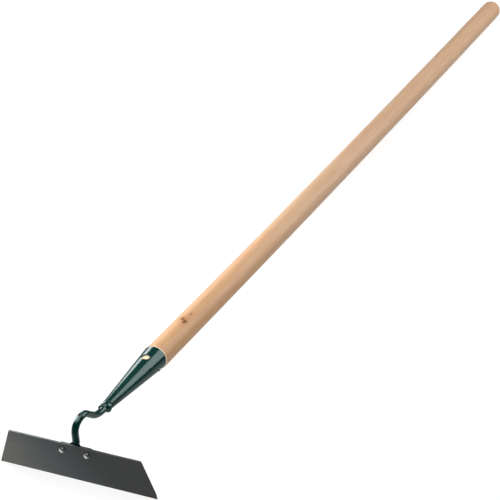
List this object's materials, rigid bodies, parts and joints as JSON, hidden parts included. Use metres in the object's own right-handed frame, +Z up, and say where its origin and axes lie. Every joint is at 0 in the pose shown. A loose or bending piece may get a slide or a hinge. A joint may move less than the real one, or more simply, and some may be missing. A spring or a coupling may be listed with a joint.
{
  "type": "draw hoe",
  "caption": "Long-handled draw hoe: trapezoid steel blade riveted to a swan neck, conical painted socket and a round wooden pole.",
  "frame": {"origin": "middle of the bounding box on the floor that the hoe lies on, resting on its cutting edge and on the end of its pole", "axes": "+X across the blade, +Y from the head to the free end of the pole, +Z up"},
  "size_m": [0.18, 1.3864, 0.0718],
  "materials": {
    "pole_wood": "smooth turned, lightly sealed",
    "green_paint": "gloss",
    "blade_steel": "satin dark grey lacquered steel",
    "bright_steel": "bright zinc plated"
  },
  "bodies": {
    "root": {"handle": "pole_wood", "socket": "green_paint", "swan_neck": "green_paint", "neck_weld": "green_paint", "blade": "blade_steel", "left_rivet": "bright_steel", "right_rivet": "bright_steel", "socket_nail": "bright_steel"}
  },
  "joints": []
}
